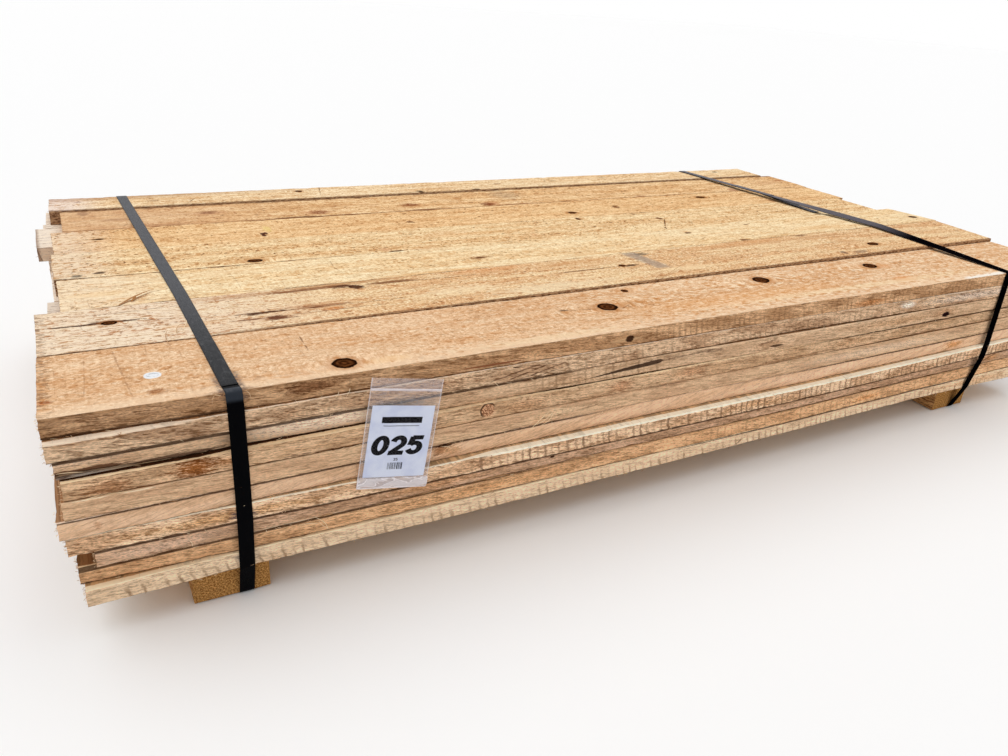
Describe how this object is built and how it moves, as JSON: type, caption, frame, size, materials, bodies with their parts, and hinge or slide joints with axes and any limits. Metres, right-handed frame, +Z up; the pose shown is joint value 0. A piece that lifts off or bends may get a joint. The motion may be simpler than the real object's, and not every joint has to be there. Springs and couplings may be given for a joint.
{
  "type": "strapped bundle of boards",
  "caption": "Flat bundle of rough-sawn cedar boards on wooden runners, held by tight plastic bands, with a lot tag in a clear pouch; lifted or forked from below.",
  "frame": {"origin": "centre of the bundle's bounding box, at the underside of the straps below the runners", "axes": "+X along the boards to the right as seen from the tagged side, -Y out of the tagged long side, +Z up"},
  "size_m": [1.87, 0.9702, 0.3143],
  "materials": {
    "cedar": "rough-sawn, unfinished",
    "runner_wood": "rough-sawn, weathered",
    "strap": "embossed, satin",
    "card": "printed paper",
    "pouch": "clear film"
  },
  "bodies": {
    "root": {"board_layer_01": "cedar", "board_layer_02": "cedar", "board_layer_03": "cedar", "board_layer_04": "cedar", "board_layer_05": "cedar", "board_layer_06": "cedar", "board_layer_07": "cedar", "board_layer_08": "cedar", "board_layer_09": "cedar", "board_layer_10": "cedar", "runner_left": "runner_wood", "runner_right": "runner_wood", "strap_left": "strap", "strap_right": "strap", "tag_card": "card", "tag_pouch": "pouch"}
  },
  "joints": []
}
